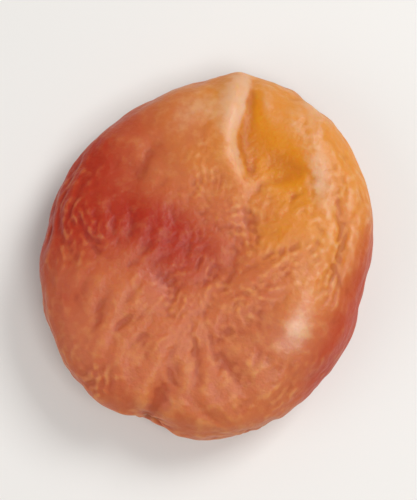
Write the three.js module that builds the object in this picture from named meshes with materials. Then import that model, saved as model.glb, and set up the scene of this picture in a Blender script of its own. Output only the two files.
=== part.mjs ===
// A large whole dried apricot, pitted and lying on one broad side.
// Millimetres, +Z up. The tip points along +Y and the stalk scar along -Y. The fruit rests on Z = 0, and its
// box is centred on the origin.

import * as THREE from 'three';
import { ImprovedNoise } from 'three/addons/math/ImprovedNoise.js';
import { mergeVertices } from 'three/addons/utils/BufferGeometryUtils.js';

const { clamp, lerp, smoothstep } = THREE.MathUtils;

// Driving dimensions.
const LENGTH = 47;
const WIDTH = 41;
const THICKNESS = 14;
const DETAIL = 21; // 20 * (DETAIL + 1) ** 2 triangles
const FACE_SHARE = 1.6; // above 1, more of the triangles lie on the two broad faces

// The plump body: 2 is an ellipsoid, and more is fuller, at the rim or at the corners of the outline.
const RIM_FULLNESS = 2.5;
const OUTLINE_FULLNESS = { right: 2.2, left: 2.0 };
const EGG = 0.035; // how much narrower the tip end is than the stalk end
const CHEEK = { turn: 1.18, reach: 0.5, swell: 0.06 }; // a fuller cheek beside the tip, in radians from +X
const WARP = { height: 0.9, phase: 0.8 }; // the rim's lift and dip, twice round

// The spot under the weight: the relief of the underside fades there, and this much of it is pressed flat.
const REST = { x: 0, y: -0.8, radius: 10, depth: 0.15 };

// A face's own features fade in from the rim, between these heights on a unit ball.
const FACE = { from: 0.02, to: 0.3 };

// Broad soft hollows, where the flesh sank over the empty stone cavity. side is 1 on the upper face and -1 on
// the lower one, x and y are plan places in mm, long and across are radii, and turn is in radians from +X. A
// negative depth is a swelling.
const HOLLOWS = [
  { side: 1, x: -1.5, y: -2, long: 12, across: 8.5, turn: 1.45, depth: 1.5 },
  { side: 1, x: 5.0, y: 13.8, long: 6.6, across: 4.1, turn: -0.5, depth: 1.6 },
  { side: 1, x: 6, y: -9.5, long: 6.5, across: 3.6, turn: 0.9, depth: 0.6 },
  { side: 1, x: 13.4, y: -6, long: 5.5, across: 4.0, turn: 1.4, depth: -0.6 },
  { side: 1, x: -10.5, y: 8.5, long: 6.5, across: 4, turn: 1.0, depth: 0.9 },
  { side: 1, x: -6.5, y: -13, long: 5.5, across: 3.6, turn: -0.5, depth: 0.6 },
  { side: -1, x: 10, y: 8, long: 7.5, across: 4.5, turn: 2.3, depth: 0.9 },
  { side: -1, x: -9.5, y: -9, long: 8, across: 4.5, turn: 2.1, depth: 1.0 },
];

// The seam, from the tip over the upper face to the stalk scar: plan points, groove and raised lip.
const SEAM = [
  [-0.5, 23.5], [-0.1, 19], [0.4, 15.3], [1.3, 12.7],
  [3.2, 10.2], [4.2, 6], [2, -6], [-0.8, -22.5],
];
const SEAM_GROOVE = { width: 1.2, depth: 0.5 };
const SEAM_LIP = { offset: -1.9, width: 1.6, height: 0.6 };
// It is plain above tipFrom along Y, nearly gone below tipTo, and comes back towards the stalk scar.
const SEAM_FADE = { tipFrom: 13, tipTo: 6.5, middle: 0.15, stalkFrom: -13, stalkTo: -21, stalk: 0.65 };

// Single creases on the upper face.
const CREASES = [
  { points: [[2.8, 7.0], [4.4, 5.2], [7.0, 3.6]], width: 0.9, depth: 0.16 },
  { points: [[11.6, 13.4], [14.9, 8.9], [16.2, 3.8], [15.6, -1.8]], width: 0.9, depth: 0.4 },
  { points: [[-5.6, -3.4], [-2.8, -6.2], [-1.8, -10.4]], width: 1.2, depth: 0.22 },
  { points: [[4.4, -12.4], [8.2, -14.0], [10.6, -16.8]], width: 1.0, depth: 0.35 },
];
// The swelling beside a crease, in shares of its depth and width, and how bluntly a crease ends.
const SHOULDER = { height: 0.3, offset: 2, width: 1.1 };
const CREASE_END = 0.6;

// Pleats round the rim, running in over both faces: how many, how much they lean and change through the
// thickness, how high they are, and where they start and are full, in shares of the way out from the middle.
// upper is how much of them shows on the plump upper face.
const PLEATS = { perTurn: 3.2, lean: 0.5, drift: 2.2, shiftX: 5.2, shiftY: 9.7 };
const PLEAT_HEIGHT = { most: 0.42, upper: 0.45, crown: 0.3, sharp: 0.9, start: 0.35, full: 0.95 };

// Long folds round the side, where the fruit sagged as it dried. They wander up and down, and come and go.
// level, wander and width are heights on a unit ball.
const SIDE_FOLDS = [
  { level: -0.2, wander: 0.5, width: 0.11, depth: 0.75, shift: 5.3 },
  { level: -0.55, wander: 0.5, width: 0.1, depth: 0.6, shift: 23.9 },
];
const SIDE_WANDER = { perTurn: 1.5, from: -0.25, to: 0.15, shift: 7.3 };

// Folds that wander over the skin. A crease runs where noise of the given size crosses zero, and it shows in
// patches.
const FOLDS = [
  { size: 13, shift: 11.3, depth: 0.34, crisp: 0.16, patch: 15, patchShift: 16.3 },
  { size: 7, shift: 47.1, depth: 0.25, crisp: 0.2, patch: 12, patchShift: 52.1 },
  { size: 3.6, shift: 83.7, depth: 0.11, crisp: 0.26, patch: 9, patchShift: 88.7 },
];
const PATCH = { from: -0.22, to: 0.2 }; // the noise levels between which a patch of folds fades in
const BEND = { size: 10, reach: 4, shifts: [3.1, 17.7, 29.9] }; // how far the folds wander sideways
const SWELL = { size: 11, shift: 61.3, height: 0.5 }; // soft lumps of flesh

// The puckered stalk scar at the -Y end, and the blunt point at the +Y end.
const STALK = { x: -0.8, radius: 3.2, depth: 1.9, rays: 7, rayHeight: 1.2 };
const TIP = { x: -1.8, radius: 4.5, height: 0.9 };

const SKIN = { color: 0xd27a3f, roughness: 0.5, metalness: 0 };

const CURVE_STEPS = 5; // stretches of line to each point of a crease
const NOISE_PEAK = 0.5; // noise mostly runs from minus this to this

const noise = new ImprovedNoise();

// A bell curve that is 1 at 0 and fades within a few widths.
function bell(distance, width) {
  return Math.exp(-((distance / width) ** 2));
}

// Noise at a point, with features of the given size.
function noiseAt(point, size, shift) {
  return noise.noise(point.x / size + shift, point.y / size + shift / 2, point.z / size + shift / 3);
}

// How far a rounded square of half size 1 reaches in the direction (a, b).
function unitReach(a, b, fullness) {
  return (Math.abs(a) ** fullness + Math.abs(b) ** fullness) ** (-1 / fullness);
}

// The smooth plump fruit in one direction from its middle.
function bodyPoint(direction) {
  const plan = Math.hypot(direction.x, direction.y);
  const angle = Math.atan2(direction.y, direction.x);
  const reach = unitReach(plan, direction.z, RIM_FULLNESS);
  const fullness = lerp(OUTLINE_FULLNESS.left, OUTLINE_FULLNESS.right, (1 + Math.cos(angle)) / 2);
  const cheek = 1 + CHEEK.swell * bell(angle - CHEEK.turn, CHEEK.reach);
  const outline = reach * cheek * unitReach(Math.cos(angle), Math.sin(angle), fullness);
  const taper = 1 - EGG * direction.y;
  const lift = WARP.height * Math.sin(2 * angle + WARP.phase) * (plan * reach) ** 2;
  return new THREE.Vector3(
    (direction.x * outline * taper * WIDTH) / 2,
    (direction.y * outline * LENGTH) / 2,
    (direction.z * reach * THICKNESS) / 2 + lift,
  );
}

// How far a point lies across and along the nearest stretch of a line of plan points. across is negative on
// one side of the line, and along runs from 0 to 1.
function nearestOnLine(point, line) {
  let best = { distance: Infinity, along: 0, side: 1 };
  const steps = line.length - 1;
  for (let i = 0; i < steps; i++) {
    const [x0, y0] = line[i];
    const dx = line[i + 1][0] - x0;
    const dy = line[i + 1][1] - y0;
    const px = point.x - x0;
    const py = point.y - y0;
    const t = clamp((px * dx + py * dy) / (dx * dx + dy * dy), 0, 1);
    const distance = Math.hypot(px - t * dx, py - t * dy);
    if (distance < best.distance) {
      best = { distance, along: (i + t) / steps, side: Math.sign(dx * py - dy * px) || 1 };
    }
  }
  return { across: best.distance * best.side, along: best.along };
}

// Rounds a line's corners, so that creases curve as skin does.
function smoothLine(points) {
  const curve = new THREE.CatmullRomCurve3(points.map(([x, y]) => new THREE.Vector3(x, y, 0)));
  return curve.getPoints(points.length * CURVE_STEPS).map((p) => [p.x, p.y]);
}

const seamLine = smoothLine(SEAM);
const creaseLines = CREASES.map((crease) => ({ ...crease, line: smoothLine(crease.points) }));

// How strongly a feature of the upper (1) or lower (-1) face shows in this direction.
function onSide(direction, side) {
  return smoothstep(direction.z * side, FACE.from, FACE.to);
}

function hollowAt(direction, point) {
  let sink = 0;
  for (const hollow of HOLLOWS) {
    const dx = point.x - hollow.x;
    const dy = point.y - hollow.y;
    const along = (dx * Math.cos(hollow.turn) + dy * Math.sin(hollow.turn)) / hollow.long;
    const across = (dy * Math.cos(hollow.turn) - dx * Math.sin(hollow.turn)) / hollow.across;
    sink -= hollow.depth * onSide(direction, hollow.side) * bell(Math.hypot(along, across), 1);
  }
  return sink;
}

function seamAt(direction, point) {
  const { across } = nearestOnLine(point, seamLine);
  const tipShare = smoothstep(point.y, SEAM_FADE.tipTo, SEAM_FADE.tipFrom);
  const stalkShare = SEAM_FADE.stalk * smoothstep(-point.y, -SEAM_FADE.stalkFrom, -SEAM_FADE.stalkTo);
  const strength = onSide(direction, 1) * Math.max(SEAM_FADE.middle, tipShare, stalkShare);
  const groove = -SEAM_GROOVE.depth * bell(across, SEAM_GROOVE.width);
  const lip = SEAM_LIP.height * bell(across - SEAM_LIP.offset, SEAM_LIP.width);
  return strength * (groove + lip);
}

function creasesAt(direction, point) {
  let height = 0;
  for (const { line, width, depth } of creaseLines) {
    const { across, along } = nearestOnLine(point, line);
    const ends = Math.max(0, Math.sin(Math.PI * along)) ** CREASE_END;
    const valley = -bell(across, width);
    const beside = Math.abs(across) - SHOULDER.offset * width;
    const shoulders = SHOULDER.height * bell(beside, SHOULDER.width * width);
    height += depth * onSide(direction, 1) * ends * (valley + shoulders);
  }
  return height;
}

function pleatsAt(direction, point) {
  const turn = Math.atan2(direction.y, direction.x) + PLEATS.lean * direction.z;
  const wave = noise.noise(
    PLEATS.perTurn * Math.cos(turn) + PLEATS.shiftX,
    PLEATS.perTurn * Math.sin(turn) + PLEATS.shiftY,
    PLEATS.drift * direction.z,
  );
  const outward = Math.hypot(point.x / (WIDTH / 2), point.y / (LENGTH / 2));
  const fade = smoothstep(outward, PLEAT_HEIGHT.start, PLEAT_HEIGHT.full);
  const share = fade * lerp(1, PLEAT_HEIGHT.upper, onSide(direction, 1));
  const slope = Math.abs(wave / NOISE_PEAK) ** PLEAT_HEIGHT.sharp;
  return PLEAT_HEIGHT.most * share * (PLEAT_HEIGHT.crown - slope);
}

function sideFoldsAt(direction) {
  const turn = Math.atan2(direction.y, direction.x);
  const x = SIDE_WANDER.perTurn * Math.cos(turn);
  const y = SIDE_WANDER.perTurn * Math.sin(turn);
  let height = 0;
  for (const { level, wander, width, depth, shift } of SIDE_FOLDS) {
    const middle = level + wander * noise.noise(x, y, shift);
    const shown = smoothstep(noise.noise(x, y, shift + SIDE_WANDER.shift), SIDE_WANDER.from, SIDE_WANDER.to);
    const beside = Math.abs(direction.z - middle) - SHOULDER.offset * width;
    const valley = -bell(direction.z - middle, width);
    height += depth * shown * (valley + SHOULDER.height * bell(beside, SHOULDER.width * width));
  }
  return height;
}

function foldsAt(point) {
  const [shiftX, shiftY, shiftZ] = BEND.shifts;
  const bent = new THREE.Vector3(
    point.x + BEND.reach * noiseAt(point, BEND.size, shiftX),
    point.y + BEND.reach * noiseAt(point, BEND.size, shiftY),
    point.z + BEND.reach * noiseAt(point, BEND.size, shiftZ),
  );
  let height = SWELL.height * noiseAt(bent, SWELL.size, SWELL.shift);
  for (const fold of FOLDS) {
    const shown = smoothstep(noiseAt(bent, fold.patch, fold.patchShift), PATCH.from, PATCH.to);
    const crossing = Math.abs(noiseAt(bent, fold.size, fold.shift));
    height -= fold.depth * shown * Math.exp(-crossing / fold.crisp);
  }
  return height;
}

function endsAt(point) {
  if (point.y > 0) {
    return TIP.height * bell(Math.hypot(point.x - TIP.x, point.z), TIP.radius);
  }
  const across = point.x - STALK.x;
  const scar = bell(Math.hypot(across, point.z), STALK.radius);
  const rays = STALK.rayHeight * Math.cos(STALK.rays * Math.atan2(point.z, across));
  return -STALK.depth * scar + rays * scar * (1 - scar);
}

// How far the skin stands out from the smooth body, along the body's own normal.
function reliefAt(direction, point) {
  const rest = onSide(direction, -1) * bell(Math.hypot(point.x - REST.x, point.y - REST.y), REST.radius);
  const relief =
    hollowAt(direction, point) +
    seamAt(direction, point) +
    creasesAt(direction, point) +
    pleatsAt(direction, point) +
    sideFoldsAt(direction) +
    foldsAt(point) +
    endsAt(point);
  return relief * (1 - rest);
}

// Presses the underside flat, centres the box over the origin and makes it exactly the driving size.
function settle(geometry) {
  const position = geometry.attributes.position;
  geometry.computeBoundingBox();
  const floor = geometry.boundingBox.min.z + REST.depth;
  for (let i = 0; i < position.count; i++) {
    position.setZ(i, Math.max(position.getZ(i), floor));
  }
  geometry.computeBoundingBox();
  const { min, max } = geometry.boundingBox;
  geometry.translate(-(min.x + max.x) / 2, -(min.y + max.y) / 2, -floor);
  geometry.scale(WIDTH / (max.x - min.x), LENGTH / (max.y - min.y), THICKNESS / (max.z - min.z));
}

function apricotGeometry() {
  const ball = new THREE.IcosahedronGeometry(1, DETAIL);
  ball.deleteAttribute('normal');
  ball.deleteAttribute('uv');
  const skin = mergeVertices(ball);
  const position = skin.attributes.position;
  const directions = [];
  for (let i = 0; i < position.count; i++) {
    const direction = new THREE.Vector3().fromBufferAttribute(position, i);
    direction.z *= FACE_SHARE;
    direction.normalize();
    directions.push(direction);
    position.setXYZ(i, ...bodyPoint(direction));
  }
  skin.computeVertexNormals();
  for (let i = 0; i < position.count; i++) {
    const point = new THREE.Vector3().fromBufferAttribute(position, i);
    const outward = new THREE.Vector3().fromBufferAttribute(skin.attributes.normal, i);
    point.addScaledVector(outward, reliefAt(directions[i], point));
    position.setXYZ(i, ...point);
  }
  settle(skin);
  skin.computeVertexNormals();
  return skin;
}

const apricot = new THREE.Mesh(apricotGeometry(), new THREE.MeshStandardMaterial(SKIN));
apricot.name = 'apricot';

const part = new THREE.Group();
part.add(apricot);

export default part;
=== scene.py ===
from collections import namedtuple
from math import cos, radians, sin

import bmesh
import bpy
import numpy as np
from bpy.props import FloatProperty, FloatVectorProperty, PointerProperty
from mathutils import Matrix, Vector, noise


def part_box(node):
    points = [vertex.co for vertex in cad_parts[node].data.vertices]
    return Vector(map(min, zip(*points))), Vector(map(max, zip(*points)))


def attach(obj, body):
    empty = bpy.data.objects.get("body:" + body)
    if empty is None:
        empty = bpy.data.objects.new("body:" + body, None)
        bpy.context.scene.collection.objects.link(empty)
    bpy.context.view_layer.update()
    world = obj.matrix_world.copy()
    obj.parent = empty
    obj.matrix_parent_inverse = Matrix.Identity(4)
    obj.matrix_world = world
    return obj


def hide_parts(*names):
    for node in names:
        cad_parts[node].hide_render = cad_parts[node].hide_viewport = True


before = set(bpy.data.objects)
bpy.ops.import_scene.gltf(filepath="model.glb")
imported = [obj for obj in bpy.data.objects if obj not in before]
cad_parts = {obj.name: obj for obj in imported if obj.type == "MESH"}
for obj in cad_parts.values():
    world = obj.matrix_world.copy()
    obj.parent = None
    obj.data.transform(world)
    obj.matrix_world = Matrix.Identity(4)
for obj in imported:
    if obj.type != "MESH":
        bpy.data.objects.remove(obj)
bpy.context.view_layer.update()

bl_info = {
    "name": "Dried Apricot",
    "version": (1, 0, 0),
    "blender": (4, 5, 0),
    "location": "View3D > Sidebar > Dried Apricot",
    "description": "Dresses the solid of a dried apricot in wrinkled, translucent skin, and sets its stage",
    "category": "Object",
}

# Everything is in metres, in the solid's frame: the tip points along +Y, and the fruit rests on Z = 0.
MM = 0.001
BOX_LOW, BOX_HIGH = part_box("apricot")
HALF_WIDTH = (BOX_HIGH.x - BOX_LOW.x) / 2
HALF_LENGTH = (BOX_HIGH.y - BOX_LOW.y) / 2
THICKNESS = BOX_HIGH.z - BOX_LOW.z

WELD = 0.01 * MM  # corners nearer than this are one corner
FAR = 100.0  # a distance in radii that no spot reaches
REST_RADIUS = 0.45 * HALF_WIDTH  # the skin is pressed smooth this far round the spot that the fruit rests on

# Wrinkles that grow over the skin, coarse ones first, out of specks that are blurred and sharpened.
# - near: in how many steps the specks are blurred, and far: in how many more for the blur that is taken away
# - rounds: how often that is done
# - follow: how strongly the wrinkles keep to the grain of the skin
# - shape: below 1 the furrows are narrow and the ridges round, and above 1 thin ridges stand on smooth skin
# - height: from the deepest furrow to the highest ridge
# - patch: the size of the patches where they are full, and quiet: their share elsewhere
# - side: their share round the side and underneath
# - stretch: how far a wrinkle runs before it fades
# - seed: places the patches and stretches, and specks: places the specks
Wrinkles = namedtuple("Wrinkles", "near far rounds follow shape height patch quiet side stretch seed specks")
COARSE_WRINKLES = Wrinkles(
    near=4,
    far=9,
    rounds=12,
    follow=1.0,
    shape=0.8,
    height=0.22 * MM,
    patch=12 * MM,
    quiet=0.35,
    side=1.3,
    stretch=6 * MM,
    seed=4,
    specks=6.96,
)
FINE_WRINKLES = Wrinkles(
    near=3,
    far=8,
    rounds=6,
    follow=0.45,
    shape=1.5,
    height=0.09 * MM,
    patch=11 * MM,
    quiet=0.3,
    side=0.8,
    stretch=3 * MM,
    seed=9,
    specks=11.96,
)
SPECK_SIZE = 0.3 * MM
STEEPEST = 1.5  # how many standard deviations of the wrinkles' pattern are kept in each round
FURROW_TO_RIDGE = (-1.4, 1.4)  # what of that pattern makes a full furrow and a full ridge
PATCH_FADE = (-0.3, 0.6)  # the noise between which patches of wrinkles fade in
STRETCH_FADE = (-0.5, 0.3)  # the noise between which a stretch of a wrinkle fades in
CURLY_LEAST = 0.4  # the share of the wrinkles that stays in curly patches, also where they fade
SIDE_FADE = (0.45, 0.8)  # the heights, in thicknesses, between which the side's wrinkles fade out
FACE_FADE = (-0.1, 0.2)  # the same from the middle, between which the patches of one face fade in
GRAIN_SIZE = 8 * MM  # how far the grain of the skin runs before it bends
GRAIN_SWING = 2.6  # how far it bends, in radians for each unit of the noise

# A patch of skin: its centre and radii in shares of the half width and the half length, turned from +X in
# radians. side is 1 for the upper face, -1 for the lower one and 0 for both.
Patch = namedtuple("Patch", "side x y long across turn strength")
CURLY_PATCHES = (
    Patch(side=1, x=0.72, y=0.14, long=0.5, across=0.2, turn=1.6, strength=1.0),
    Patch(side=1, x=0.52, y=0.6, long=0.45, across=0.13, turn=2.45, strength=0.7),
    Patch(side=1, x=0.42, y=-0.1, long=0.4, across=0.3, turn=0.5, strength=0.85),
    Patch(side=1, x=0.1, y=0.15, long=0.25, across=0.2, turn=0.5, strength=0.7),
    Patch(side=1, x=-0.1, y=-0.5, long=0.7, across=0.4, turn=0.2, strength=0.5),
)
SMOOTH_PATCHES = (
    Patch(side=1, x=0.24, y=0.59, long=0.27, across=0.13, turn=-0.5, strength=0.85),
    Patch(side=1, x=0.65, y=-0.28, long=0.26, across=0.18, turn=1.4, strength=0.85),
    Patch(side=1, x=-0.5, y=0.45, long=0.45, across=0.3, turn=1.3, strength=0.7),
    Patch(side=1, x=-0.09, y=0.78, long=0.3, across=0.1, turn=1.6, strength=0.9),
    Patch(side=1, x=0.9, y=0.08, long=0.35, across=0.08, turn=1.8, strength=0.75),
)
# Red patches: sun-reddened skin, and the two along the right rim (x=1.0 and x=0.95) are painted shade, where
# the rim curves away from the light.
BLUSH_AND_SHADE_PATCHES = (
    Patch(side=0, x=-1.0, y=0.1, long=0.9, across=0.55, turn=1.5, strength=0.85),
    Patch(side=1, x=-0.37, y=0.0, long=0.5, across=0.17, turn=0.03, strength=0.8),
    Patch(side=1, x=-0.08, y=-0.17, long=0.3, across=0.2, turn=0.3, strength=0.45),
    Patch(side=0, x=1.0, y=0.17, long=0.6, across=0.2, turn=1.5, strength=0.7),
    Patch(side=0, x=-0.35, y=-1.0, long=0.8, across=0.35, turn=0.1, strength=0.4),
    Patch(side=0, x=0.95, y=-0.45, long=0.55, across=0.22, turn=1.3, strength=0.6),
    Patch(side=-1, x=0.2, y=0.3, long=1.0, across=0.7, turn=0.6, strength=0.45),
)
RIPE_PATCHES = (
    Patch(side=1, x=0.3, y=0.75, long=0.8, across=0.5, turn=-0.3, strength=1.0),
    Patch(side=0, x=0.75, y=0.2, long=0.5, across=0.3, turn=1.5, strength=0.6),
    Patch(side=-1, x=-0.3, y=-0.4, long=0.6, across=0.5, turn=0.5, strength=0.7),
)
GLOW_PATCHES = (
    Patch(side=1, x=0.26, y=0.55, long=0.3, across=0.15, turn=-0.5, strength=1.0),
    Patch(side=1, x=0.04, y=0.68, long=0.22, across=0.06, turn=1.75, strength=1.0),
    Patch(side=1, x=0.42, y=0.18, long=0.3, across=0.2, turn=0.9, strength=0.55),
    Patch(side=1, x=0.61, y=0.62, long=0.25, across=0.09, turn=2.47, strength=0.4),
    Patch(side=-1, x=-0.3, y=0.5, long=0.5, across=0.35, turn=0.8, strength=0.35),
)
# Pale dry skin on the lip, the rims and the upper left. On the lip the pale band is also a painted highlight
# of its ridge, and the last patch is a painted highlight.
PALE_PATCHES = (
    Patch(side=1, x=-0.088, y=0.8, long=0.27, across=0.085, turn=1.64, strength=1.0),
    Patch(side=1, x=0.015, y=0.48, long=0.13, across=0.05, turn=-0.95, strength=0.7),
    Patch(side=1, x=-0.3, y=0.68, long=0.28, across=0.17, turn=0.6, strength=0.55),
    Patch(side=1, x=0.33, y=0.73, long=0.22, across=0.11, turn=2.7, strength=0.45),
    Patch(side=1, x=0.37, y=0.87, long=0.15, across=0.07, turn=2.6, strength=0.5),
    Patch(side=1, x=0.53, y=0.49, long=0.2, across=0.1, turn=2.0, strength=0.75),
    Patch(side=1, x=0.72, y=0.36, long=0.2, across=0.1, turn=1.8, strength=0.3),
    # A painted highlight where the glint light's highlight falls on the swelling low on the right.
    Patch(side=1, x=0.66, y=-0.3, long=0.14, across=0.11, turn=1.6, strength=0.72),
)
GLOSS_PATCHES = (
    Patch(side=1, x=0.66, y=-0.31, long=0.22, across=0.16, turn=1.6, strength=1.0),
    Patch(side=1, x=-0.07, y=0.75, long=0.3, across=0.08, turn=1.68, strength=0.1),
)

# The dry spots at the two ends: where they are across the fruit, their height above the floor and their
# radius. end is 1 at the tip and -1 at the stalk scar, and folds are the small puckers round a spot.
EndSpot = namedtuple("EndSpot", "end x z radius folds fold_height")
STALK_SCAR = EndSpot(end=-1, x=-0.8 * MM, z=6.9 * MM, radius=1.5 * MM, folds=9, fold_height=0.22 * MM)
TIP_SPOT = EndSpot(end=1, x=-1.8 * MM, z=7.2 * MM, radius=0.6 * MM, folds=5, fold_height=0.05 * MM)
PUCKER_REACH = 1.6  # how far the puckers run, in radii of their spot
DRY_FADE = (0.3, 1.2)  # the radii between which a spot's dryness fades out
DRY_RAGGED = 0.1  # how far the folds move its edge, in radii

# How the relief is read for the colours: each point's depth below the skin blurred in so many steps, which
# counts as 0 up to low and as 1 from high. A crest is read upwards. The depths of furrows, folds and hollows
# paint shade into the colour, and crests and ridges are painted lighter, partly as a painted sheen.
Depth = namedtuple("Depth", "steps low high")
FURROW = Depth(steps=2, low=0, high=0.02 * MM)
FOLD = Depth(steps=8, low=0, high=0.06 * MM)
CREST = Depth(steps=8, low=0.005 * MM, high=0.05 * MM)
HOLLOW = Depth(steps=100, low=0, high=0.16 * MM)
RIDGE_FADE = (0.1, 0.5)  # what of the fine wrinkles' relief counts as no ridge and as a full one
CREASE_STEPS = 3  # of the blur that the solid's creases are sharpened against

# The skin's mottling, and how ragged it makes the edges of the coloured patches: how far clouds and flecks
# move an edge, and how strong a patch is where its colour starts and where it is full.
CLOUD_SIZE = 7 * MM
FLECK_SIZE = 1.3 * MM
DUST_SIZE = 0.6 * MM
DUST_HEIGHT = 0.16 * MM
Edge = namedtuple("Edge", "clouds flecks start full")
RIPE_EDGE = Edge(clouds=0.8, flecks=0.2, start=0.0, full=0.9)
BLUSH_AND_SHADE_EDGE = Edge(clouds=0.5, flecks=0.35, start=0.1, full=0.85)
GLOW_EDGE = Edge(clouds=0.0, flecks=0.4, start=0.15, full=0.8)
PALE_EDGE = Edge(clouds=0.0, flecks=0.5, start=0.25, full=0.9)
PAINTED_SHADE = (0.72, 0.42, 0.25, 1.0)  # painted shade: what the colour of sunken skin in creases, folds and the dish is multiplied by
PAINTED_SHADE_LIMIT = 0.65  # the most painted shade that the deepest skin gets

# The soft lights: their direction from the fruit, their distance, the length of a side and the setting that
# holds their power.
Light = namedtuple("Light", "name direction distance size power")
LIGHTS = (
    Light(name="key", direction=(0.45, 0.6, 0.85), distance=0.4, size=0.16, power="key_power"),
    Light(name="fill", direction=(-0.7, -0.6, 0.7), distance=0.45, size=0.35, power="fill_power"),
    Light(name="glint", direction=(0.3, -0.21, 0.93), distance=0.4, size=0.16, power="glint_power"),
)
ROOM_LIGHT = 0.3
FLOOR_REACH = 1.5
LENS = 100  # its length in millimetres, the unit that Blender takes here
CLIP_START = 0.01

# Sockets of the Mix node when it mixes colours.
MIX_FACTOR, MIX_A, MIX_B, MIX_RESULT = 0, 6, 7, 2


class ApricotSkinSettings(bpy.types.PropertyGroup):
    """The fruit's wrinkles and colours"""

    wrinkle_strength: FloatProperty(
        name="Wrinkle Strength",
        description="How strongly all the wrinkles stand out",
        default=1.0,
        min=0,
        max=2,
    )
    crispness: FloatProperty(
        name="Crispness",
        description="How much the solid's own creases are sharpened",
        default=0.4,
        min=0,
        max=2,
    )
    flesh: FloatVectorProperty(
        name="Flesh",
        description="The fruit's main colour",
        subtype="COLOR",
        default=(0.57, 0.15, 0.048),
        min=0,
        max=1,
    )
    ripe: FloatVectorProperty(
        name="Ripe",
        description="The yellower stretches",
        subtype="COLOR",
        default=(0.69, 0.26, 0.03),
        min=0,
        max=1,
    )
    # Sun-reddened skin, and also the painted shade along the right rim.
    blush: FloatVectorProperty(
        name="Blush",
        description="The sunny red side",
        subtype="COLOR",
        default=(0.42, 0.022, 0.003),
        min=0,
        max=1,
    )
    glow: FloatVectorProperty(
        name="Glow",
        description="The thin clear flesh in the dish",
        subtype="COLOR",
        default=(0.68, 0.24, 0.0),
        min=0,
        max=1,
    )
    # Pale dry skin, and also painted highlights on the lip and on a spot low on the right; the lighter crests
    # take it too.
    pale: FloatVectorProperty(
        name="Pale",
        description="The dry lip and rim",
        subtype="COLOR",
        default=(0.72, 0.42, 0.25),
        min=0,
        max=1,
    )
    # Bloom on the flecks; on the lighter crests it is partly a painted sheen.
    bloom_and_sheen: FloatVectorProperty(
        name="Bloom",
        description="The light crests and flecks",
        subtype="COLOR",
        default=(0.72, 0.34, 0.11),
        min=0,
        max=1,
    )
    dry: FloatVectorProperty(
        name="Dry",
        description="The stalk scar and the tip",
        subtype="COLOR",
        default=(0.24, 0.09, 0.035),
        min=0,
        max=1,
    )
    roughness: FloatProperty(
        name="Roughness",
        description="How rough the waxy skin is",
        default=0.42,
        min=0,
        max=1,
    )
    light_depth: FloatProperty(
        name="Light Depth",
        description="How far red light goes into the flesh",
        default=1.6 * MM,
        min=0,
        unit="LENGTH",
    )


class ApricotStageSettings(bpy.types.PropertyGroup):
    """The floor, the lights and the camera"""

    floor_color: FloatVectorProperty(
        name="Floor",
        description="The colour of the floor",
        subtype="COLOR",
        default=(0.82, 0.80, 0.77),
        min=0,
        max=1,
    )
    azimuth: FloatProperty(
        name="Azimuth",
        description="The camera's way round the fruit",
        default=radians(17),
        subtype="ANGLE",
    )
    elevation: FloatProperty(
        name="Elevation",
        description="The camera's height above the horizon",
        default=radians(81),
        subtype="ANGLE",
    )
    fill: FloatProperty(
        name="Fill",
        description="Share of the picture's height that the fruit's length takes",
        default=0.74,
        min=0.1,
        max=1,
    )
    key_power: FloatProperty(
        name="Key Power",
        description="Of the main soft light",
        default=0.85,
        min=0,
        unit="POWER",
    )
    fill_power: FloatProperty(
        name="Fill Power",
        description="Of the wide weak light from the other side",
        default=0.4,
        min=0,
        unit="POWER",
    )
    glint_power: FloatProperty(
        name="Glint Power",
        description="Of the light that the highlight on the fruit comes from",
        default=0.55,
        min=0,
        unit="POWER",
    )


class Number:
    """A number on a node's socket. Python's operators add the Math nodes."""

    def __init__(self, shader, socket):
        self.shader = shader
        self.socket = socket

    def math(self, operation, first, second, clamp=False):
        settings = {"operation": operation, "use_clamp": clamp}
        node = self.shader.node("ShaderNodeMath", settings, {0: first, 1: second})
        return Number(self.shader, node.outputs[0])

    def __add__(self, other):
        return self.math("ADD", self, other)

    __radd__ = __add__

    def __sub__(self, other):
        return self.math("SUBTRACT", self, other)

    def __rsub__(self, other):
        return self.math("SUBTRACT", other, self)

    def __mul__(self, other):
        return self.math("MULTIPLY", self, other)

    __rmul__ = __mul__

    def clamped(self):
        return self.math("ADD", self, 0.0, clamp=True)

    def at_most(self, limit):
        return self.math("MINIMUM", self, limit)


class Shader:
    """Builds one material's nodes."""

    def __init__(self, name):
        self.material = bpy.data.materials.new(name)
        self.material.use_nodes = True
        self.tree = self.material.node_tree
        self.tree.nodes.clear()

    def node(self, kind, settings=None, sockets=None):
        """Adds a node. Its settings are set first, and then each socket gets a value or a link."""
        node = self.tree.nodes.new(kind)
        for name, value in (settings or {}).items():
            setattr(node, name, value)
        for key, value in (sockets or {}).items():
            if isinstance(value, Number):
                value = value.socket
            if isinstance(value, bpy.types.NodeSocket):
                self.tree.links.new(value, node.inputs[key])
            else:
                node.inputs[key].default_value = value
        return node

    def attribute(self, name):
        return Number(self, self.node("ShaderNodeAttribute", {"attribute_name": name}).outputs["Fac"])

    def noise(self, place, size, detail=2.0):
        """Cloudy noise from 0 to 1, with features of the given size in metres."""
        sockets = {"Vector": place, "Scale": 1 / size, "Detail": detail}
        return Number(self, self.node("ShaderNodeTexNoise", {}, sockets).outputs["Fac"])

    def ramp(self, value, low, high):
        """0 at low, 1 at high, and smooth between them."""
        settings = {"interpolation_type": "SMOOTHSTEP"}
        sockets = {"Value": value, "From Min": low, "From Max": high}
        return Number(self, self.node("ShaderNodeMapRange", settings, sockets).outputs["Result"])

    def mix(self, factor, first, second, blend="MIX"):
        """A colour between two colours."""
        settings = {"data_type": "RGBA", "blend_type": blend}
        sockets = {MIX_FACTOR: factor, MIX_A: first, MIX_B: second}
        return self.node("ShaderNodeMix", settings, sockets).outputs[MIX_RESULT]


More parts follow.
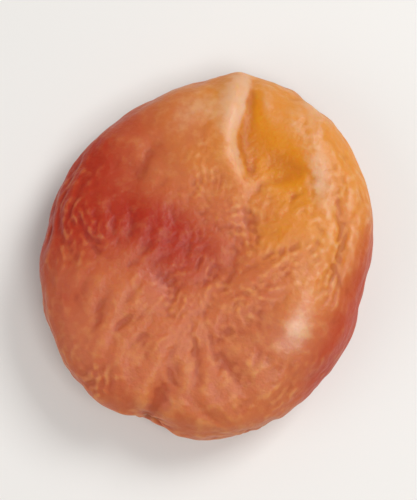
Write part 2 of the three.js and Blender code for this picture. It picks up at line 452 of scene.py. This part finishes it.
class Skin:
    """A closed mesh of triangles that is refined, blurred and pushed out as a whole."""

    def __init__(self, points, triangles):
        self.points = points
        self.triangles = triangles
        sides = np.sort(triangles[:, [0, 1, 1, 2, 2, 0]].reshape(-1, 2), axis=1)
        self.edges, self.edge_of_side = np.unique(sides, axis=0, return_inverse=True)
        self.links = np.concatenate([self.edges, self.edges[:, ::-1]])

    def ring_sum(self, values, weights=None):
        """At each point, the sum over its neighbours."""
        here, there = self.links.T
        parts = values[there] if weights is None else values[there] * weights
        return np.bincount(here, weights=parts, minlength=len(self.points))

    def blur(self, values, steps, weights=None):
        """Each step moves every point halfway to the mean of its neighbours, by the weights of its links."""
        total = self.ring_sum(np.ones(len(self.points)), weights)
        for _ in range(steps):
            values = (values + self.ring_sum(values, weights) / total) / 2
        return values

    def blur_points(self, steps):
        return np.stack([self.blur(axis, steps) for axis in self.points.T], axis=1)

    def normals(self):
        a, b, c = (self.points[corner] for corner in self.triangles.T)
        faces = np.cross(b - a, c - a)
        total = np.zeros_like(self.points)
        for corner in self.triangles.T:
            np.add.at(total, corner, faces)
        return total / np.linalg.norm(total, axis=1, keepdims=True)

    def refined(self):
        """Loop subdivision: every triangle becomes four, on a smoother surface."""
        count = np.bincount(self.edges.ravel(), minlength=len(self.points))[:, None]
        share = np.where(count == 3, 3 / 16, 3 / (8 * count))
        around = np.stack([self.ring_sum(axis) for axis in self.points.T], axis=1)
        moved = self.points * (1 - share * count) + share * around
        middles = 3 / 8 * self.points[self.edges].sum(axis=1)
        opposite = self.triangles[:, [2, 0, 1]].ravel()
        np.add.at(middles, self.edge_of_side.ravel(), 1 / 8 * self.points[opposite])
        a, b, c = self.triangles.T
        ab, bc, ca = self.edge_of_side.reshape(-1, 3).T + len(self.points)
        quarters = [(a, ab, ca), (ab, b, bc), (ca, bc, c), (ab, bc, ca)]
        triangles = np.concatenate([np.stack(quarter, axis=1) for quarter in quarters])
        return Skin(np.concatenate([moved, middles]), triangles)

    def depths(self, steps):
        """How far each point lies below the blurred skin, in metres."""
        return np.einsum("ij,ij->i", self.blur_points(steps) - self.points, self.normals())


def smoothstep(values, low, high):
    t = np.clip((values - low) / (high - low), 0, 1)
    return t * t * (3 - 2 * t)


def noise_field(points, size, seed):
    """Smooth noise, mostly from -0.5 to 0.5, with features of the given size."""
    shift = Vector((13.7, 7.3, 3.1)) * seed
    return np.array([noise.noise(Vector(point) / size + shift) for point in points])


def solid_skin(node):
    """The mesh of a node of the frame, with its doubled corners merged."""
    mesh = bmesh.new()
    mesh.from_mesh(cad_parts[node].data)
    bmesh.ops.remove_doubles(mesh, verts=mesh.verts, dist=WELD)
    bmesh.ops.triangulate(mesh, faces=mesh.faces)
    points = np.array([vertex.co for vertex in mesh.verts])
    triangles = np.array([[vertex.index for vertex in face.verts] for face in mesh.faces])
    mesh.free()
    return Skin(points, triangles)


def grain_links(skin, follow):
    """The weight of each link: more along the skin's grain, which bends on its way from end to end."""
    normals = skin.normals()
    lengthwise = np.array([0.0, 1.0, 0.0]) - normals * normals[:, 1:2]
    lengthwise /= np.linalg.norm(lengthwise, axis=1, keepdims=True) + 1e-9
    crosswise = np.cross(normals, lengthwise)
    swing = GRAIN_SWING * noise_field(skin.points, GRAIN_SIZE, seed=1)[:, None]
    grain = lengthwise * np.cos(swing) + crosswise * np.sin(swing)
    here, there = skin.links.T
    step = skin.points[there] - skin.points[here]
    step /= np.linalg.norm(step, axis=1, keepdims=True)
    return np.exp(follow * (np.einsum("ij,ij->i", step, grain[here]) ** 2 - 0.5))


def grow_wrinkles(skin, wrinkles):
    """Ridges (1) and furrows (0) that wander and branch, as on skin that shrank over its flesh: specks are
    blurred and sharpened again and again, until they join up."""
    weights = grain_links(skin, wrinkles.follow)
    pattern = noise_field(skin.points, SPECK_SIZE, wrinkles.specks)
    for _ in range(wrinkles.rounds):
        near = skin.blur(pattern, wrinkles.near, weights)
        pattern = near - skin.blur(near, wrinkles.far)
        pattern = np.clip(pattern / pattern.std(), -STEEPEST, STEEPEST)
    return smoothstep(skin.blur(pattern, 1), *FURROW_TO_RIDGE)


def on_spot(points, patch):
    """How strongly a patch covers each point, from 0 to 1."""
    dx = points[:, 0] / HALF_WIDTH - patch.x
    dy = points[:, 1] / HALF_LENGTH - patch.y
    along = (dx * cos(patch.turn) + dy * sin(patch.turn)) / patch.long
    across = (dy * cos(patch.turn) - dx * sin(patch.turn)) / patch.across
    cover = patch.strength * np.exp(-(along**2) - across**2)
    height = points[:, 2] / THICKNESS - 0.5
    return cover if patch.side == 0 else cover * smoothstep(height * patch.side, *FACE_FADE)


def on_spots(points, patches):
    """The strongest of several patches at each point, softly joined."""
    bare = np.ones(len(points))
    for patch in patches:
        bare *= 1 - on_spot(points, patch)
    return 1 - bare


def around_end(points, spot):
    """The distance of each point from an end spot, in radii of it, and its turn round it."""
    dx = points[:, 0] - spot.x
    dz = points[:, 2] - spot.z
    distance = np.where(points[:, 1] * spot.end > 0, np.hypot(dx, dz) / spot.radius, FAR)
    return distance, np.arctan2(dz, dx)


def fold_wave(turn, folds):
    """Uneven folds round an end spot, from -1 to 1."""
    return np.cos(folds * turn + 2 * np.sin(2 * turn))


def end_puckers(points, spot):
    """Small folds that run out from an end spot, as heights."""
    distance, turn = around_end(points, spot)
    fade = distance * np.exp(-((distance / PUCKER_REACH) ** 2))
    return spot.fold_height * fold_wave(turn, spot.folds) * fade


def end_dryness(points, spot):
    """1 on an end spot, with a ragged edge that follows its folds."""
    distance, turn = around_end(points, spot)
    ragged = distance * (1 + DRY_RAGGED * fold_wave(turn, spot.folds))
    return 1 - smoothstep(ragged, *DRY_FADE)


def side_share(points):
    """1 round the side and underneath, fading to 0 on the upper face."""
    return 1 - smoothstep(points[:, 2] / THICKNESS, *SIDE_FADE)


def rest_share(points):
    """1 where the fruit rests, fading to 0 round it."""
    distance = np.hypot(points[:, 0], points[:, 1]) / REST_RADIUS
    return np.exp(-(distance**4)) * (points[:, 2] < THICKNESS / 2)


def push_out(skin, heights):
    """Moves the skin along its normals, except where the fruit rests."""
    skin.points = skin.points + skin.normals() * (heights * (1 - rest_share(skin.points)))[:, None]
    skin.points[:, 2] = np.maximum(skin.points[:, 2], BOX_LOW.z)


def wrinkle_relief(skin, wrinkles):
    """Grown wrinkles as a relief round 0: full in patches, weak between them, deep round the side, and fading
    along their length."""
    shown = smoothstep(noise_field(skin.points, wrinkles.patch, wrinkles.seed), *PATCH_FADE)
    strength = wrinkles.quiet + (1 - wrinkles.quiet) * shown
    strength = np.maximum(strength, wrinkles.side * side_share(skin.points))
    fade = smoothstep(noise_field(skin.points, wrinkles.stretch, wrinkles.seed + 1), *STRETCH_FADE)
    curly = on_spots(skin.points, CURLY_PATCHES) * (CURLY_LEAST + (1 - CURLY_LEAST) * fade)
    strength = np.maximum(strength * fade, curly)
    strength *= 1 - on_spots(skin.points, SMOOTH_PATCHES)
    relief = grow_wrinkles(skin, wrinkles) ** wrinkles.shape
    return strength * (relief - relief.mean())


def dressed_skin(settings):
    """The finished surface, and its fine relief."""
    skin = solid_skin("apricot").refined()
    push_out(skin, -settings.crispness * skin.depths(CREASE_STEPS))
    coarse = wrinkle_relief(skin, COARSE_WRINKLES)
    push_out(skin, settings.wrinkle_strength * COARSE_WRINKLES.height * coarse)
    skin = skin.refined()
    fine = wrinkle_relief(skin, FINE_WRINKLES)
    puckers = end_puckers(skin.points, STALK_SCAR) + end_puckers(skin.points, TIP_SPOT)
    push_out(skin, settings.wrinkle_strength * (FINE_WRINKLES.height * fine + puckers))
    return skin, fine


def skin_mesh(skin, fine):
    """The skin as a mesh, with the attributes that its colours follow."""
    mesh = bpy.data.meshes.new("apricot_skin")
    mesh.from_pydata(skin.points.tolist(), [], skin.triangles.tolist())
    mesh.shade_smooth()
    # The masks that the colours follow also carry painted light: the depths give painted shade, crest and
    # ridge a painted sheen, the red patches also painted shade along the right rim, and pale painted
    # highlights.
    masks = {
        "furrow": smoothstep(skin.depths(FURROW.steps), FURROW.low, FURROW.high),
        "fold": smoothstep(skin.depths(FOLD.steps), FOLD.low, FOLD.high),
        "crest": smoothstep(-skin.depths(CREST.steps), CREST.low, CREST.high),
        "ridge": smoothstep(fine, *RIDGE_FADE),
        "hollow": smoothstep(skin.depths(HOLLOW.steps), HOLLOW.low, HOLLOW.high),
        "blush": on_spots(skin.points, BLUSH_AND_SHADE_PATCHES),
        "ripe": on_spots(skin.points, RIPE_PATCHES),
        "glow": on_spots(skin.points, GLOW_PATCHES),
        "gloss": on_spots(skin.points, GLOSS_PATCHES),
        "pale": on_spots(skin.points, PALE_PATCHES),
        "dry": np.maximum(end_dryness(skin.points, STALK_SCAR), end_dryness(skin.points, TIP_SPOT)),
    }
    for name, values in masks.items():
        attribute = mesh.attributes.new(name, "FLOAT", "POINT")
        attribute.data.foreach_set("value", values.astype(np.float32))
    return mesh


def opaque(color):
    """A colour with its alpha, as a socket takes it."""
    return (*color, 1.0)


def skin_material(settings):
    """Waxy, translucent skin: orange with red patches, deep amber in the dish and a pale dry lip. Its colour
    holds painted light: painted shade in creases, folds, the dish and along the right rim, and painted
    highlights on the lip, the crests and a spot low on the right.
    """
    shader = Shader("apricot_skin")
    place = shader.node("ShaderNodeTexCoord").outputs["Object"]
    clouds = shader.noise(place, CLOUD_SIZE)
    flecks = shader.noise(place, FLECK_SIZE, detail=4)
    dust = shader.noise(place, DUST_SIZE, detail=3)
    furrow = shader.attribute("furrow")
    # crease and sunk weigh how much painted shade the creases, folds and hollows get.
    crease = furrow * 0.4 + shader.attribute("fold") * 0.45
    sunk = crease + shader.attribute("hollow") * 0.5

    def patches(name, edge):
        """How strong the patches of one kind are over the skin, with ragged edges."""
        return shader.attribute(name) + (clouds - 0.5) * edge.clouds + (flecks - 0.5) * edge.flecks

    ripe = shader.ramp(patches("ripe", RIPE_EDGE), RIPE_EDGE.start, RIPE_EDGE.full)
    color = shader.mix(ripe, opaque(settings.flesh), opaque(settings.ripe))
    blush = shader.ramp(patches("blush", BLUSH_AND_SHADE_EDGE), BLUSH_AND_SHADE_EDGE.start, BLUSH_AND_SHADE_EDGE.full)
    color = shader.mix(blush, color, opaque(settings.blush))
    glow = shader.ramp(patches("glow", GLOW_EDGE), GLOW_EDGE.start, GLOW_EDGE.full)
    color = shader.mix(glow, color, opaque(settings.glow))
    # The pale patches, which on the lip and low on the right are painted highlights, fade in sunken skin as
    # painted shade.
    pale = shader.ramp(patches("pale", PALE_EDGE) - sunk * 0.55, PALE_EDGE.start, PALE_EDGE.full)
    color = shader.mix(pale, color, opaque(settings.pale))

    # Where the lighter crests and flecks show, little in the glow and the red patches: dust, and on the
    # crests also a painted sheen.
    dust_and_sheen = (1 - glow * 0.95) * (1 - blush * 0.6)
    light = shader.mix(ripe * 0.7, opaque(settings.bloom_and_sheen), opaque(settings.pale))
    # Painted highlight: crests and fine ridges made lighter, partly as bloom.
    crest = (shader.attribute("crest") + shader.attribute("ridge") * 0.5) * (ripe * 0.3 + 0.43)
    color = shader.mix((crest * shader.ramp(flecks, 0.25, 0.6) * dust_and_sheen).clamped(), color, light)
    light_flecks = shader.ramp(flecks, 0.45, 0.8) * dust_and_sheen * 0.4
    color = shader.mix(light_flecks, color, opaque(settings.bloom_and_sheen))
    # Painted shade: sunken skin darkened, less in the groove's glow and in ripe skin, at most by the limit.
    shade = ((sunk - crease * glow * 0.5) * (1 - ripe * 0.25)).at_most(PAINTED_SHADE_LIMIT)
    color = shader.mix(shade, color, PAINTED_SHADE, blend="MULTIPLY")
    color = shader.mix(shader.attribute("dry").clamped(), color, opaque(settings.dry))

    roughness = (settings.roughness + (flecks - 0.5) * 0.22 + furrow * 0.12).clamped()
    grain = shader.node(
        "ShaderNodeBump", {}, {"Strength": 0.7, "Distance": DUST_HEIGHT, "Height": dust + flecks * 0.5}
    )
    surface = shader.node(
        "ShaderNodeBsdfPrincipled",
        {"subsurface_method": "RANDOM_WALK"},
        {
            "Base Color": color,
            "Roughness": roughness,
            "Normal": grain.outputs["Normal"],
            "IOR": 1.4,
            "Subsurface Weight": 0.8,
            "Subsurface Radius": (1.0, 0.32, 0.08),
            "Subsurface Scale": settings.light_depth,
            "Coat Weight": (shader.attribute("gloss") * 0.95 + 0.05).clamped(),
            "Coat Roughness": 0.36,
        },
    )
    shader.node("ShaderNodeOutputMaterial", {}, {"Surface": surface.outputs["BSDF"]})
    return shader.material


def floor_material(color):
    """Plain matt board."""
    shader = Shader("pale_floor")
    surface = shader.node("ShaderNodeBsdfPrincipled", {}, {"Base Color": opaque(color), "Roughness": 0.8})
    shader.node("ShaderNodeOutputMaterial", {}, {"Surface": surface.outputs["BSDF"]})
    return shader.material


def linked(name, data):
    """A new object in the scene."""
    made = bpy.data.objects.new(name, data)
    bpy.context.scene.collection.objects.link(made)
    return made


def point_at(piece, place, target):
    """Puts a light or camera at a place, looking at a target."""
    piece.location = place
    piece.rotation_mode = "QUATERNION"
    piece.rotation_quaternion = (Vector(target) - Vector(place)).to_track_quat("-Z", "Y")


def soft_light(light, power, target):
    """A square soft light that looks at the target."""
    data = bpy.data.lights.new(light.name, "AREA")
    data.size = light.size
    data.energy = power
    place = Vector(target) + Vector(light.direction).normalized() * light.distance
    point_at(linked(light.name, data), place, target)


class APRICOT_OT_skin(bpy.types.Operator):
    """Dress the solid with the fruit's wrinkled skin"""

    bl_idname = "dried_apricot.skin"
    bl_label = "Apricot Skin"
    bl_options = {"REGISTER", "UNDO"}

    def execute(self, context):
        settings = context.scene.apricot_skin
        piece = linked("apricot_skin", skin_mesh(*dressed_skin(settings)))
        piece.data.materials.append(skin_material(settings))
        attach(piece, "root")
        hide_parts("apricot")
        return {"FINISHED"}


class APRICOT_OT_stage(bpy.types.Operator):
    """Lay the floor, and set the lights and the camera"""

    bl_idname = "dried_apricot.stage"
    bl_label = "Stage"
    bl_options = {"REGISTER", "UNDO"}

    def execute(self, context):
        settings = context.scene.apricot_stage
        middle = (BOX_LOW + BOX_HIGH) / 2
        self.add_floor(settings)
        self.add_lights(context, settings, middle)
        self.add_camera(context, settings, middle)
        return {"FINISHED"}

    def add_floor(self, settings):
        mesh = bpy.data.meshes.new("floor")
        reach = FLOOR_REACH
        corners = [(-reach, -reach, 0), (reach, -reach, 0), (reach, reach, 0), (-reach, reach, 0)]
        mesh.from_pydata(corners, [], [(0, 1, 2, 3)])
        mesh.materials.append(floor_material(settings.floor_color))
        linked("floor", mesh)

    def add_lights(self, context, settings, middle):
        for light in LIGHTS:
            soft_light(light, getattr(settings, light.power), middle)
        world = bpy.data.worlds.new("studio")
        world.use_nodes = True
        background = world.node_tree.nodes["Background"]
        background.inputs["Color"].default_value = (1, 1, 1, 1)
        background.inputs["Strength"].default_value = ROOM_LIGHT
        context.scene.world = world
        context.scene.view_settings.view_transform = "Standard"

    def add_camera(self, context, settings, middle):
        data = bpy.data.cameras.new("camera")
        data.lens = LENS
        data.clip_start = CLIP_START
        frame_height = 2 * HALF_LENGTH / settings.fill
        distance = frame_height * data.lens / data.sensor_width
        camera = linked("camera", data)
        azimuth, elevation = settings.azimuth, settings.elevation
        back = Vector((sin(azimuth) * cos(elevation), -cos(azimuth) * cos(elevation), sin(elevation)))
        point_at(camera, middle + back * distance, middle)
        context.scene.camera = camera


class APRICOT_PT_panel(bpy.types.Panel):
    """Lists the steps and their settings"""

    bl_idname = "APRICOT_PT_panel"
    bl_label = "Dried Apricot"
    bl_space_type = "VIEW_3D"
    bl_region_type = "UI"
    bl_category = "Dried Apricot"

    def draw(self, context):
        for settings, step in STEPS:
            box = self.layout.box()
            group = getattr(context.scene, settings)
            for name in group.bl_rna.properties.keys():
                if name not in ("rna_type", "name"):
                    box.prop(group, name)
            box.operator(step.bl_idname)


STEPS = (("apricot_skin", APRICOT_OT_skin), ("apricot_stage", APRICOT_OT_stage))
CLASSES = (ApricotSkinSettings, ApricotStageSettings, APRICOT_OT_skin, APRICOT_OT_stage, APRICOT_PT_panel)


def register():
    for item in CLASSES:
        bpy.utils.register_class(item)
    bpy.types.Scene.apricot_skin = PointerProperty(type=ApricotSkinSettings)
    bpy.types.Scene.apricot_stage = PointerProperty(type=ApricotStageSettings)


def unregister():
    del bpy.types.Scene.apricot_stage
    del bpy.types.Scene.apricot_skin
    for item in reversed(CLASSES):
        bpy.utils.unregister_class(item)


def main():
    register()
    bpy.ops.dried_apricot.skin()
    bpy.ops.dried_apricot.stage()


if __name__ == "__main__":
    main()
